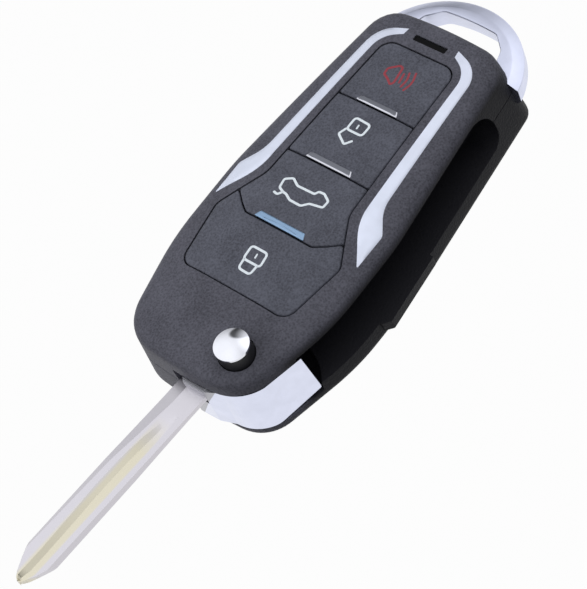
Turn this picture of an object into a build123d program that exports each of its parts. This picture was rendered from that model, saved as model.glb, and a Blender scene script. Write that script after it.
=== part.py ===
from build123d import *
import os
from math import cos, radians, sin

# Car remote key with a folding blade, lying on its back with the blade out.
# +Z points out of the face, +Y to the key ring loop, +X to the side that the blade folds into.
# The origin lies on the flat back, on the middle plane of the case. All sizes are millimetres.

os.makedirs("parts", exist_ok=True)

# Case outline, right half, from the front corner to the rear corner
case_half_width = 19.1
front_half_width = 14.4
rear_half_width = 14.5
front_reach = 38.1
front_bulge = 0.9
rear_reach = 40.0
rear_bulge = 1.2
waist_front = 17.5
front_corner_radius = 7.5
rear_corner_radius = 6.5
flank_radius = 45.0
end_radius = 90.0

# Case heights and walls
case_height = 17.5
crown_drop = 0.2
crown_radius = 68.0
face_edge_radius = 3.0
shoulder_edge_radius = 1.3
back_edge_radius = 1.2
wall = 1.5
floor_thickness = 2.0
roof = 1.6
parting_z = 9.0
bevel_run = 1.9
bevel_drop = 1.25

# Key pad: the raised field, its bevel edge and the seams between the caps
pad_front = 22.3
pad_rear = 33.2
pad_front_half = 12.3
pad_wide_half = 14.9
pad_wide_y = -9.8
pad_neck_half = 9.0
pad_rear_half = 8.2
pad_gap = 0.25
seam_gap = 0.3
seam_panic_y = 19.8
seam_unlock_y = 5.8
seam_lock_y = -8.3
flange_width = 0.6
flange_thickness = 0.6
flange_gap = 0.3
key_travel = 0.45
press_gap = 0.25
cap_edge_radius = 0.25
plunger_radius = 1.6
plunger_length = 1.1
bar_proud = 0.12
bar_depth = 1.1
bar_slant = 0.7

# Bright stripes beside the pad
trim_proud = 0.1
trim_depth = 0.7
bevel_rear_y = 34.9

# Flip pivot, hub and blade
pivot_x = 8.8
pivot_y = -30.9
open_lean = 4.5
fold_travel = 186.0
swing_radius = 10.9
swing_gap = 0.3
hub_wall = 1.2
drum_radius = 6.9
hub_end_gap = 0.25
hub_top = 12.45
collar_radius = 4.6
collar_top = 15.3
bearing_gap = 0.06
boss_radius = 3.0
boss_height = 3.0
rim_thickness = 1.2
rim_end_y = -24.3
rim_low_x = 2.1
rim_high_x = 7.6
nose_left = -1.4
slot_left = -1.8
blade_width = 6.7
blade_thickness = 2.3
blade_bottom = 8.5
blade_offset = 5.8
blade_root = 4.3
blade_reach = 51.5
blade_groove_width = 2.5
blade_groove_depth = 0.55
groove_shift = 0.5
groove_start = 12.2
groove_run_out = 5.6
blade_bevel = 0.9
pin_radius = 0.75
pin_reach = 6.6
pin_overhang = 2.5

# Release button and its spring
button_radius = 3.2
button_hole_gap = 0.16
button_guide_gap = 0.1
button_bottom = 11.0
button_proud = 2.75
button_travel = 2.3
cap_height = 1.15
lug_reach = 4.0
lug_width = 1.6
lug_height = 1.6
wire_radius = 0.35
spring_gap = 0.05
lug_gap = 0.15
spring_radius = 2.45
spring_turns = 4.0

# Blade recess in the right side
recess_low = 3.9
recess_high = 13.3
recess_rise = 1.3
recess_rear = 31.0
recess_gap = 0.6
recess_start = 5.0
recess_corner = 3.5

# Key ring loop
loop_low = 5.5
loop_top = 11.0
loop_half_width = 15.8
loop_reach = 50.3
hole_reach = 46.2
hole_half_width = 8.7
loop_bevel_run = 2.4
loop_bevel_drop = 2.6
tang_inner = 9.4
tang_outer = 13.0
tang_front = 33.0

# Inner pieces
board_z = 10.2
board_thickness = 1.0
board_front = -17.2
board_rear = 37.2
board_gap = 0.4
membrane_height = 1.4
membrane_wall = 0.6
skirt_wall = 1.0
membrane_half = 7.0
dome_height = 0.6
dome_radius = 2.4
cell_radius = 10.0
cell_height = 3.2
cell_x = -4.6
cell_y = 14.0
cell_gap = 0.3
ring_wall = 1.0
contact_sheet = 0.3
screw_radius = 0.95
screw_head_radius = 1.7
screw_head_height = 1.1
screw_gap = 0.05
screw_sink = 0.3
screw_post_wall = 0.6
screw_cover = 1.7
screw_end_gap = 0.2
screw_slot_length = 2.2
screw_slot_width = 0.5
post_radius = 1.2
key_centres = {"panic": 27.0, "unlock": 13.0, "trunk": -1.0, "lock": -13.5}

# Values worked out from the sizes above
rear_end = rear_reach + rear_bulge
front_end = front_reach + front_bulge
crown_apex = case_height - crown_drop
roof_under = case_height - roof
flange_top = roof_under - flange_gap
flange_low = flange_top - flange_thickness
pad_floor = flange_low - key_travel - press_gap
hub_low = floor_thickness + hub_end_gap
hub_cavity_top = hub_top + hub_end_gap
cavity_radius = swing_radius + swing_gap
cavity_wall_radius = cavity_radius + hub_wall
blade_top = blade_bottom + blade_thickness
recess_inner = pivot_x + blade_offset - blade_width / 2 - recess_gap
fold_lean = fold_travel - open_lean - 90
fold_direction = (cos(radians(fold_lean)), sin(radians(fold_lean)), 0)
fold_outward = (sin(radians(fold_lean)), -cos(radians(fold_lean)), 0)
board_top = board_z + board_thickness
screw_end = roof_under - screw_cover
beyond = 30.0

case_corners = [
    (0, -front_end, end_radius),
    (front_half_width, -front_reach, front_corner_radius),
    (case_half_width, -waist_front, flank_radius),
    (case_half_width + 0.1, 0, flank_radius),
    (rear_half_width, rear_reach, rear_corner_radius),
    (0, rear_end, end_radius),
]
pad_corners = [
    (pad_front_half, -pad_front, 2.6),
    (pad_wide_half, pad_wide_y, 2.2),
    (pad_neck_half, -0.1, 4.0),
    (pad_rear_half, pad_rear, 2.6),
]
bevel_corners = [
    (case_half_width + 2.4, -front_end - 8, 0),
    (case_half_width + 2.4, -13.0, 0),
    (pad_wide_half + 1.5, pad_wide_y + 1.8, 5.0),
    (pad_neck_half + 2.4, 2.2, 5.0),
    (pad_neck_half + 1.95, 8.0, 15.0),
    (pad_rear_half + 1.1, bevel_rear_y, 3.4),
]
stripe_corners = [
    (5.2, bevel_rear_y + 1.8, 0),
    (pad_rear_half + 1.4, bevel_rear_y + 1.4, 3.2),
    (pad_rear_half + 3.5, 27.0, 30.0),
    (pad_neck_half + 4.1, 7.2, 5.0),
    (pad_wide_half + 1.7, 0.2, 2.6),
    (pad_wide_half + 1.5, -7.4, 0),
    (pad_neck_half + 2.45, 2.3, 5.0),
    (pad_neck_half + 2.0, 8.0, 15.0),
    (pad_rear_half + 1.15, bevel_rear_y + 0.05, 3.0),
    (5.8, bevel_rear_y + 0.05, 0),
]
seam_lock_path = [
    (-beyond, seam_lock_y + 18.0),
    (-9.6, seam_lock_y + 1.3),
    (-7.6, seam_lock_y),
    (7.6, seam_lock_y),
    (9.6, seam_lock_y + 1.3),
    (beyond, seam_lock_y + 18.0),
]


def symmetric_face(corners, grow=0.0):
    """Closed face from the (x, y, radius) corners of its right half, mirrored to the left."""
    mirrored = [(-x, y, r) for x, y, r in reversed(corners) if x > 0]
    whole = corners + mirrored
    with BuildSketch() as shape:
        with BuildLine():
            FilletPolyline(*[(x, y) for x, y, _ in whole], radius=[r for _, _, r in whole], close=True)
        make_face()
        if grow:
            offset(amount=grow, kind=Kind.INTERSECTION)
    return shape.sketch


def shifted(part, height):
    """Copy of a part, raised by height."""
    return part.moved(Location((0, 0, height)))


def beside_recess(gap):
    """Half plane right of the recess's inner wall, moved inwards by gap."""
    ahead = Vector(*fold_direction) * 4 * beyond
    start = Vector(recess_inner - gap, pivot_y, 0)
    outward = Vector(*fold_outward) * 2 * beyond
    corners = [start - ahead, start - ahead + outward, start + ahead + outward, start + ahead]
    with BuildSketch() as side:
        Polygon(*[(corner.X, corner.Y) for corner in corners], align=None)
    return side.sketch


# Outer form of the closed case: crowned shoulders under a raised, bevelled face
with BuildPart() as shoulders:
    with BuildSketch():
        add(symmetric_face(case_corners))
    extrude(amount=case_height)
    with BuildSketch(Plane.XZ):
        with Locations((0, crown_apex - crown_radius)):
            Circle(crown_radius)
    extrude(amount=100, both=True, mode=Mode.INTERSECT)
    crown_edges = shoulders.edges().filter_by(lambda e: e.bounding_box().min.Z > case_height / 2)
    fillet(crown_edges, radius=shoulder_edge_radius)
    fillet(shoulders.edges().group_by(Axis.Z)[0], radius=back_edge_radius)

with BuildPart() as pad_block:
    with BuildSketch():
        add(symmetric_face(bevel_corners, bevel_run))
    extrude(amount=case_height)
    top_face = pad_block.faces().sort_by(Axis.Z)[-1]
    chamfer(top_face.edges(), length=bevel_run, length2=bevel_drop, reference=top_face)

with BuildPart() as raised_face:
    with BuildSketch(Plane.XY.offset(parting_z)):
        add(symmetric_face(case_corners))
    extrude(amount=case_height - parting_z)
    fillet(raised_face.edges().group_by(Axis.Z)[-1], radius=face_edge_radius)
    add(pad_block.part, mode=Mode.INTERSECT)

with BuildPart() as envelope:
    add(shoulders.part)
    add(raised_face.part)

# Space that the blade folds into: a long recess in the right side, open to the hub
recess_plane = Plane(origin=(recess_inner, pivot_y, 0), x_dir=fold_direction, z_dir=fold_outward)
recess_length = recess_rear - pivot_y
with BuildPart() as recess:
    with BuildSketch(recess_plane):
        with BuildLine():
            FilletPolyline(
                (recess_start, recess_low),
                (recess_length, recess_low),
                (recess_length, recess_high + recess_rise),
                (recess_start, recess_high),
                radius=[0, recess_corner, recess_corner, 0],
                close=True,
            )
        make_face()
    extrude(amount=beyond)

# Round space that the hub turns in, open at the front from the blade slot to the right side
with BuildPart() as hub_space:
    with BuildSketch(Plane.XY.offset(floor_thickness)):
        with Locations((pivot_x, pivot_y)):
            Circle(cavity_radius)
        with Locations((slot_left, pivot_y)):
            Rectangle(beyond, beyond, align=(Align.MIN, Align.MAX))
    extrude(amount=hub_cavity_top - floor_thickness)

# Hollow for the electronics, walled off from the hub and from the recess
with BuildPart() as hollow:
    with BuildSketch(Plane.XY.offset(floor_thickness)):
        add(symmetric_face(case_corners, -wall))
        add(beside_recess(wall), mode=Mode.SUBTRACT)
        with Locations((pivot_x, pivot_y)):
            Circle(cavity_wall_radius, mode=Mode.SUBTRACT)
        with Locations((slot_left - wall, pivot_y)):
            Rectangle(beyond, beyond, align=(Align.MIN, Align.MAX), mode=Mode.SUBTRACT)
    extrude(amount=case_height)
    with BuildSketch(Plane.XY.offset(pad_floor)):
        add(symmetric_face(pad_corners, flange_width + 2 * pad_gap))
    extrude(amount=case_height)
    add(shifted(envelope.part, -roof), mode=Mode.INTERSECT)

# Key ring loop: one bright casting with two tangs that the shells clamp
loop_outer = [
    (tang_outer, tang_front, 0.6),
    (tang_outer, 36.6, 0),
    (loop_half_width - 0.5, 36.6, 0),
    (loop_half_width, 43.0, 4.5),
    (9.3, loop_reach - 0.4, 6.0),
    (0, loop_reach, 60),
]
loop_hole = [
    (tang_inner, tang_front - 1, 0),
    (tang_inner, rear_reach + 0.5, 0.5),
    (hole_half_width, hole_reach - 3.0, 1.5),
    (5.9, hole_reach - 0.4, 2.0),
    (0, hole_reach, 60),
]
screw_places = [(tang_inner + 1.8, 35.2), (-tang_inner - 1.8, 35.2), (-11.0, -28.5)]
with BuildPart() as key_ring_loop:
    with BuildSketch(Plane.XY.offset(loop_low)):
        add(symmetric_face(loop_outer))
    extrude(amount=loop_top - loop_low)
    loop_top_face = key_ring_loop.faces().sort_by(Axis.Z)[-1]
    rear_edges = loop_top_face.edges().filter_by(lambda e: e.center().Y > 38)
    chamfer(rear_edges, length=loop_bevel_run, length2=loop_bevel_drop, reference=loop_top_face)
    with BuildSketch(Plane.XY.offset(loop_low)):
        add(symmetric_face(loop_hole))
    extrude(amount=loop_top - loop_low, mode=Mode.SUBTRACT)
    with BuildSketch(Plane.XY.offset(loop_low)):
        with Locations(*screw_places[:2]):
            Circle(screw_radius + screw_gap)
    extrude(amount=loop_top - loop_low, mode=Mode.SUBTRACT)
key_ring_loop.part.label = "key_ring_loop"
export_step(key_ring_loop.part, "parts/key_ring_loop.step")

# Bright stripes: thin plated mouldings that lie in a pocket along the bevel of the pad
with BuildPart() as trim_right:
    with BuildSketch(Plane.XY.offset(parting_z)):
        with BuildLine():
            FilletPolyline(
                *[(x, y) for x, y, _ in stripe_corners],
                radius=[r for _, _, r in stripe_corners],
                close=True,
            )
        make_face()
    extrude(amount=case_height)
    add(shifted(envelope.part, trim_proud), mode=Mode.INTERSECT)
    add(shifted(envelope.part, -trim_depth), mode=Mode.SUBTRACT)
trim_right.part.label = "trim_right"
export_step(trim_right.part, "parts/trim_right.step")

with BuildPart() as trim_left:
    add(mirror(trim_right.part, about=Plane.YZ, mode=Mode.PRIVATE))
trim_left.part.label = "trim_left"
export_step(trim_left.part, "parts/trim_left.step")

# Smoked window over the indicator, with a light pipe down to the board
window_half = 4.1
window_depth = 1.25
window_slant = 0.8
led_height = 0.6
led_gap = 0.3
with BuildPart() as indicator_window:
    with BuildSketch(Plane.XY.offset(board_top + led_height + led_gap)):
        Polygon(
            (-window_half, bevel_rear_y),
            (window_half, bevel_rear_y),
            (window_half - window_slant, bevel_rear_y + window_depth),
            (-window_half + window_slant, bevel_rear_y + window_depth),
            align=None,
        )
    extrude(amount=case_height)
    add(envelope.part, mode=Mode.INTERSECT)
indicator_window.part.label = "indicator_window"
export_step(indicator_window.part, "parts/indicator_window.step")

# Upper half of the case
with BuildPart() as top_shell:
    add(envelope.part)
    split(bisect_by=Plane.XY.offset(parting_z), keep=Keep.TOP)
    add(hollow.part, mode=Mode.SUBTRACT)
    with BuildSketch(Plane.XY.offset(board_top)):
        with Locations(*screw_places):
            Circle(screw_head_radius + screw_post_wall)
    extrude(amount=roof_under - board_top)
    add(envelope.part, mode=Mode.INTERSECT)
    add(hub_space.part, mode=Mode.SUBTRACT)
    add(recess.part, mode=Mode.SUBTRACT)
    with BuildSketch(Plane.XY.offset(pad_floor)):
        add(symmetric_face(pad_corners, pad_gap))
    extrude(amount=case_height, mode=Mode.SUBTRACT)
    with BuildSketch(Plane.XY.offset(hub_cavity_top)):
        with Locations((pivot_x, pivot_y)):
            Circle(collar_radius + bearing_gap)
    extrude(amount=collar_top + hub_end_gap - hub_cavity_top, mode=Mode.SUBTRACT)
    with BuildSketch(Plane.XY.offset(hub_cavity_top)):
        with Locations((pivot_x, pivot_y)):
            Circle(button_radius + button_hole_gap)
    extrude(amount=case_height, mode=Mode.SUBTRACT)
    with BuildSketch(Plane.XY.offset(parting_z)):
        with Locations(*screw_places):
            Circle(screw_radius + screw_gap)
    extrude(amount=screw_end + screw_end_gap - parting_z, mode=Mode.SUBTRACT)
    add(key_ring_loop.part, mode=Mode.SUBTRACT)
    add(trim_right.part, mode=Mode.SUBTRACT)
    add(trim_left.part, mode=Mode.SUBTRACT)
    add(indicator_window.part, mode=Mode.SUBTRACT)
top_shell.part.label = "top_shell"
export_step(top_shell.part, "parts/top_shell.step")

# Lower half of the case, with the pivot boss, the battery ring, board posts and screw posts
post_places = [(-13.0, -13.5), (recess_inner - wall - 2.2, -14.5), (-12.2, 28.0), (6.0, 28.0)]
catch_reach = 1.2
catch_y = -8.5
with BuildPart() as bottom_shell:
    add(envelope.part)
    split(bisect_by=Plane.XY.offset(parting_z), keep=Keep.BOTTOM)
    add(hollow.part, mode=Mode.SUBTRACT)
    with BuildSketch(Plane.XY.offset(floor_thickness)):
        with Locations((cell_x, cell_y)):
            Circle(cell_radius + cell_gap + ring_wall)
            Circle(cell_radius + cell_gap, mode=Mode.SUBTRACT)
        with Locations((cell_x, cell_y + cell_radius)):
            Rectangle(6.0, 6.0, mode=Mode.SUBTRACT)
    extrude(amount=contact_sheet + cell_height)
    with BuildSketch(Plane.XY.offset(floor_thickness)):
        with Locations(*post_places):
            Circle(post_radius)
    extrude(amount=board_z - floor_thickness)
    with BuildSketch(Plane.XY.offset(floor_thickness)):
        with Locations(*screw_places):
            Circle(screw_head_radius + screw_post_wall)
    extrude(amount=parting_z - floor_thickness)
    add(hub_space.part, mode=Mode.SUBTRACT)
    add(recess.part, mode=Mode.SUBTRACT)
    with BuildSketch(Plane.XY.offset(floor_thickness)):
        with Locations((pivot_x, pivot_y)):
            Circle(boss_radius)
    extrude(amount=boss_height)
    with BuildSketch(Plane.XY.offset(back_edge_radius)):
        Polygon(
            (case_half_width - 2, catch_y - 1.3),
            (case_half_width, catch_y - 1.3),
            (case_half_width + catch_reach, catch_y),
            (case_half_width - 0.2, catch_y + 14),
            (case_half_width - 2, catch_y + 14),
            align=None,
        )
    extrude(amount=recess_low - back_edge_radius)
    add(key_ring_loop.part, mode=Mode.SUBTRACT)
    with BuildSketch():
        with Locations(*screw_places):
            Circle(screw_head_radius + screw_gap)
    extrude(amount=screw_sink + screw_head_height, mode=Mode.SUBTRACT)
    with BuildSketch():
        with Locations(*screw_places):
            Circle(screw_radius + screw_gap)
    extrude(amount=parting_z, mode=Mode.SUBTRACT)
bottom_shell.part.label = "bottom_shell"
export_step(bottom_shell.part, "parts/bottom_shell.step")

# Three alike screws that hold the shells together
with BuildPart() as case_screws:
    with BuildSketch(Plane.XY.offset(screw_sink)):
        with Locations(*screw_places):
            Circle(screw_head_radius)
    extrude(amount=screw_head_height)
    with BuildSketch(Plane.XY.offset(screw_sink)):
        with Locations(*screw_places):
            Rectangle(screw_slot_length, screw_slot_width)
            Rectangle(screw_slot_width, screw_slot_length)
    extrude(amount=screw_head_height / 2, mode=Mode.SUBTRACT)
    with BuildSketch(Plane.XY.offset(screw_sink + screw_head_height)):
        with Locations(*screw_places):
            Circle(screw_radius)
    extrude(amount=screw_end - screw_sink - screw_head_height)
case_screws.part.label = "case_screws"
export_step(case_screws.part, "parts/case_screws.step")


def across(y, step=0.0):
    """Straight seam path over the whole width at y, moved by step."""
    return [(-beyond, y + step), (beyond, y + step)]


def lock_seam(step):
    """Seam path above the lock cap, moved by step."""
    return [(x, y + step) for x, y in seam_lock_path]


def build_keycap(name, low_path, high_path, centre_y, bar):
    """Hard cap between two seam paths, with a flange under the roof and a plunger."""
    band = low_path + high_path[::-1]
    with BuildPart() as cap:
        with BuildSketch(Plane.XY.offset(flange_low)):
            add(symmetric_face(pad_corners))
            Polygon(*band, align=None, mode=Mode.INTERSECT)
        extrude(amount=case_height - flange_low)
        fillet(cap.faces().sort_by(Axis.Z)[-1].edges(), radius=cap_edge_radius)
        with BuildSketch(Plane.XY.offset(flange_low)):
            add(symmetric_face(pad_corners, pad_gap + flange_width))
            Polygon(*band, align=None, mode=Mode.INTERSECT)
        extrude(amount=flange_thickness)
        with BuildSketch(Plane.XY.offset(flange_low)):
            with Locations((0, centre_y)):
                Circle(plunger_radius)
        extrude(amount=-plunger_length)
        if bar is not None:
            add(bar, mode=Mode.SUBTRACT)
    cap.part.label = name
    export_step(cap.part, f"parts/{name}.step")
    return cap.part


def build_bar(name, seam_y, half_width, depth):
    """Bright bar with slanted ends, set in the lower edge of the cap behind the seam."""
    low_y = seam_y + seam_gap / 2
    with BuildPart() as bar:
        with BuildSketch(Plane.XY.offset(case_height - bar_depth)):
            Polygon(
                (-half_width, low_y),
                (half_width, low_y),
                (half_width - bar_slant * depth, low_y + depth),
                (-half_width + bar_slant * depth, low_y + depth),
                align=None,
            )
        extrude(amount=bar_depth + bar_proud)
        chamfer(bar.faces().sort_by(Axis.Z)[-1].edges(), length=bar_proud * 0.8)
    bar.part.label = name
    export_step(bar.part, f"parts/{name}.step")
    return bar.part


bar_panic = build_bar("bar_panic", seam_panic_y, 4.7, 1.3)
bar_unlock = build_bar("bar_unlock", seam_unlock_y, 5.2, 1.4)
bar_trunk = build_bar("bar_trunk", seam_lock_y, 5.9, 1.6)
half_seam = seam_gap / 2
build_keycap(
    "keycap_panic", across(seam_panic_y, half_seam), across(pad_rear + beyond), key_centres["panic"], bar_panic
)
build_keycap(
    "keycap_unlock",
    across(seam_unlock_y, half_seam),
    across(seam_panic_y, -half_seam),
    key_centres["unlock"],
    bar_unlock,
)
build_keycap(
    "keycap_trunk", lock_seam(half_seam), across(seam_unlock_y, -half_seam), key_centres["trunk"], bar_trunk
)
build_keycap("keycap_lock", across(-pad_front - beyond), lock_seam(-half_seam), key_centres["lock"], None)

def groove_face(side):
    """Groove of the blade in its own plane, running out at the root; side -1 is turned over."""
    near = -blade_offset - side * groove_shift
    far = near + side * blade_groove_width
    with BuildSketch() as groove:
        with BuildLine():
            FilletPolyline(
                (groove_start, far),
                (groove_start + groove_run_out, near),
                (blade_reach + 2, near),
                (blade_reach + 2, far),
                radius=[0, 4.0, 0, 0],
                close=True,
            )
        make_face()
    return groove.sketch


# Blade: flat bar with a pointed tip, an off-centre groove on each side and a bevelled back edge
blade_direction = (sin(radians(-open_lean)), -cos(radians(open_lean)), 0)
blade_plane = Plane(origin=(pivot_x, pivot_y, blade_bottom), x_dir=blade_direction, z_dir=(0, 0, 1))
left_v = -blade_offset - blade_width / 2
right_v = -blade_offset + blade_width / 2
pin_place = blade_plane.from_local_coords((pin_reach, -blade_offset, 0))
bevel_sections = [(4.8, 2.2), (12.0, 2.0), (16.5, blade_bevel), (blade_reach, blade_bevel)]
with BuildPart() as blade:
    with BuildSketch(blade_plane):
        with BuildLine():
            FilletPolyline(
                (blade_root, left_v),
                (blade_reach - 6.5, left_v),
                (blade_reach - 0.3, -blade_offset - 0.9),
                (blade_reach + 0.1, -blade_offset + 2.0),
                (blade_reach - 3.9, right_v),
                (blade_root, right_v),
                radius=[0.4, 1.5, 1.6, 1.6, 2.0, 0.4],
                close=True,
            )
        make_face()
    extrude(amount=blade_thickness)
    with BuildSketch(blade_plane.offset(blade_thickness - blade_groove_depth)):
        add(groove_face(1))
    extrude(amount=blade_thickness, mode=Mode.SUBTRACT)
    with BuildSketch(blade_plane):
        add(groove_face(-1))
    extrude(amount=blade_groove_depth, mode=Mode.SUBTRACT)
    for reach, width in bevel_sections:
        section_plane = Plane(
            origin=blade_plane.from_local_coords((reach, left_v, blade_thickness)),
            x_dir=blade_plane.y_dir,
            z_dir=blade_plane.x_dir,
        )
        with BuildSketch(section_plane):
            Polygon((-0.5, 0.5), (width, 0.5), (width, 0), (0, -0.8), (-0.5, -0.8), align=None)
    loft(ruled=True, mode=Mode.SUBTRACT)
    with BuildSketch(Plane.XY.offset(blade_bottom)):
        with Locations((pin_place.X, pin_place.Y)):
            Circle(pin_radius)
    extrude(amount=blade_thickness, mode=Mode.SUBTRACT)
blade.part.label = "blade"
export_step(blade.part, "parts/blade.step")

# Roll pin through the hub and the blade's root
with BuildPart() as blade_pin:
    with BuildSketch(Plane.XY.offset(blade_bottom - pin_overhang)):
        with Locations((pin_place.X, pin_place.Y)):
            Circle(pin_radius)
            Circle(pin_radius * 0.5, mode=Mode.SUBTRACT)
    extrude(amount=hub_top - blade_bottom + pin_overhang)
blade_pin.part.label = "blade_pin"
export_step(blade_pin.part, "parts/blade_pin.step")

# Chrome cladding of the hub's outer corner, flush with the case outline
with BuildPart() as hub_rim:
    with BuildSketch(Plane.XY.offset(hub_low)):
        add(symmetric_face(case_corners))
        with Locations((pivot_x, pivot_y)):
            Circle(swing_radius, mode=Mode.INTERSECT)
        with Locations((nose_left, rim_end_y)):
            Rectangle(beyond, beyond, align=(Align.MIN, Align.MAX), mode=Mode.INTERSECT)
        add(symmetric_face(case_corners, -rim_thickness), mode=Mode.SUBTRACT)
    extrude(amount=hub_top - hub_low)
    with BuildSketch(Plane.XZ.offset(front_reach - 3)):
        Polygon(
            (nose_left - 1, hub_low),
            (rim_low_x, hub_low),
            (rim_high_x, hub_top),
            (nose_left - 1, hub_top),
            align=None,
        )
    extrude(amount=10, mode=Mode.SUBTRACT)
    add(blade.part, mode=Mode.SUBTRACT)
hub_rim.part.label = "hub_rim"
export_step(hub_rim.part, "parts/hub_rim.step")

# Hub: cast rotor with a bored drum, a nose that grips the blade and a collar that turns in the top shell
bore_radius = button_radius + button_guide_gap
with BuildPart() as flip_hub:
    with BuildSketch(Plane.XY.offset(hub_low)):
        add(symmetric_face(case_corners))
        with Locations((pivot_x, pivot_y)):
            Circle(swing_radius, mode=Mode.INTERSECT)
        with Locations((nose_left, rim_end_y)):
            Rectangle(beyond, beyond, align=(Align.MIN, Align.MAX), mode=Mode.INTERSECT)
        with Locations((pivot_x, pivot_y)):
            Circle(drum_radius)
    extrude(amount=hub_top - hub_low)
    with BuildSketch(Plane.XY.offset(hub_top)):
        with Locations((pivot_x, pivot_y)):
            Circle(collar_radius)
    extrude(amount=collar_top - hub_top)
    with BuildSketch(Plane.XY.offset(hub_low)):
        with Locations((pivot_x, pivot_y)):
            Circle(boss_radius + bearing_gap)
    extrude(amount=collar_top, mode=Mode.SUBTRACT)
    with BuildSketch(Plane.XY.offset(floor_thickness + boss_height)):
        with Locations((pivot_x, pivot_y)):
            Circle(bore_radius)
    extrude(amount=collar_top, mode=Mode.SUBTRACT)
    with BuildSketch(Plane.XY.offset(button_bottom - button_travel - press_gap)):
        with Locations((pivot_x, pivot_y)):
            Rectangle(2 * (lug_reach + lug_gap), lug_width + 2 * lug_gap)
    extrude(amount=collar_top, mode=Mode.SUBTRACT)
    add(hub_rim.part, mode=Mode.SUBTRACT)
    add(blade.part, mode=Mode.SUBTRACT)
    with BuildSketch(Plane.XY.offset(blade_bottom - pin_overhang)):
        with Locations((pin_place.X, pin_place.Y)):
            Circle(pin_radius)
    extrude(amount=hub_top, mode=Mode.SUBTRACT)
flip_hub.part.label = "flip_hub"
export_step(flip_hub.part, "parts/flip_hub.step")

# Release button: black plunger with two guide lugs, under a domed chrome cap
button_top = case_height + button_proud
cap_base = button_top - cap_height
with BuildPart() as release_button:
    with BuildSketch(Plane.XY.offset(button_bottom)):
        with Locations((pivot_x, pivot_y)):
            Circle(button_radius)
    extrude(amount=cap_base - button_bottom)
    with BuildSketch(Plane.XY.offset(button_bottom)):
        with Locations((pivot_x, pivot_y)):
            Rectangle(2 * lug_reach, lug_width)
    extrude(amount=lug_height)
release_button.part.label = "release_button"
export_step(release_button.part, "parts/release_button.step")

dome_edge = 0.45
dome_rise = cap_height - dome_edge
dome_radius_cap = (button_radius**2 + dome_rise**2) / (2 * dome_rise)
half_way = button_radius / 2
half_way_height = cap_height - dome_radius_cap + (dome_radius_cap**2 - half_way**2) ** 0.5
with BuildPart() as release_cap:
    with BuildSketch(Plane(origin=(pivot_x, pivot_y, cap_base), x_dir=(1, 0, 0), z_dir=(0, -1, 0))):
        with BuildLine():
            Line((0, 0), (button_radius, 0))
            Line((button_radius, 0), (button_radius, dome_edge))
            ThreePointArc((button_radius, dome_edge), (half_way, half_way_height), (0, cap_height))
            Line((0, cap_height), (0, 0))
        make_face()
    revolve(axis=Axis((pivot_x, pivot_y, 0), (0, 0, 1)))
release_cap.part.label = "release_cap"
export_step(release_cap.part, "parts/release_cap.step")

# Coil spring between the pivot boss and the plunger
spring_low = floor_thickness + boss_height + spring_gap
spring_height = button_bottom - spring_gap - spring_low - 2 * wire_radius
with BuildPart() as flip_spring:
    with BuildLine():
        Helix(
            pitch=spring_height / spring_turns,
            height=spring_height,
            radius=spring_radius,
            center=(pivot_x, pivot_y, spring_low + wire_radius),
        )
    with BuildSketch(
        Plane(origin=(pivot_x + spring_radius, pivot_y, spring_low + wire_radius), z_dir=(0, 1, 0))
    ):
        Circle(wire_radius)
    sweep()
flip_spring.part.label = "flip_spring"
export_step(flip_spring.part, "parts/flip_spring.step")

# Circuit board on the four posts
board_tail_half = tang_inner - 1.2
board_tail_y = tang_front - 2.0
with BuildPart() as circuit_board:
    with BuildSketch(Plane.XY.offset(board_z)):
        add(symmetric_face(case_corners, -wall - board_gap))
        add(beside_recess(wall + board_gap), mode=Mode.SUBTRACT)
        with Locations((0, board_front)):
            Rectangle(4 * beyond, beyond, align=(Align.CENTER, Align.MAX), mode=Mode.SUBTRACT)
        with Locations((0, board_rear)):
            Rectangle(4 * beyond, beyond, align=(Align.CENTER, Align.MIN), mode=Mode.SUBTRACT)
        with Locations((-board_tail_half, board_tail_y)):
            Rectangle(beyond, beyond, align=(Align.MAX, Align.MIN), mode=Mode.SUBTRACT)
    extrude(amount=board_thickness)
circuit_board.part.label = "circuit_board"
export_step(circuit_board.part, "parts/circuit_board.step")

# Rubber sheet with a skirt on the board and a dome under each cap
membrane_front = board_front + board_gap
membrane_rear = 31.5
membrane_corner = 2.0
with BuildPart() as key_membrane:
    with BuildSketch(Plane.XY.offset(board_top)):
        with Locations((0, (membrane_front + membrane_rear) / 2)):
            RectangleRounded(2 * membrane_half, membrane_rear - membrane_front, membrane_corner)
    extrude(amount=membrane_height)
    with BuildSketch(Plane.XY.offset(board_top)):
        with Locations((0, (membrane_front + membrane_rear) / 2)):
            RectangleRounded(
                2 * (membrane_half - skirt_wall),
                membrane_rear - membrane_front - 2 * skirt_wall,
                membrane_corner - skirt_wall,
            )
    extrude(amount=membrane_height - membrane_wall, mode=Mode.SUBTRACT)
    with Locations(*[(0, y, board_top + membrane_height) for y in key_centres.values()]):
        Cone(dome_radius, plunger_radius, dome_height, align=(Align.CENTER, Align.CENTER, Align.MIN))
key_membrane.part.label = "key_membrane"
export_step(key_membrane.part, "parts/key_membrane.step")

# One tact switch on the board under each dome
switch_length = 4.2
switch_width = 3.2
switch_height = 0.5
for key, y in key_centres.items():
    with BuildPart() as tact_switch:
        with BuildSketch(Plane.XY.offset(board_top)):
            with Locations((0, y)):
                Rectangle(switch_length, switch_width)
        extrude(amount=switch_height)
        with BuildSketch(Plane.XY.offset(board_top + switch_height)):
            with Locations((0, y)):
                Circle(1.0)
        extrude(amount=membrane_height - membrane_wall - switch_height)
    tact_switch.part.label = f"tact_switch_{key}"
    export_step(tact_switch.part, f"parts/tact_switch_{key}.step")

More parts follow.
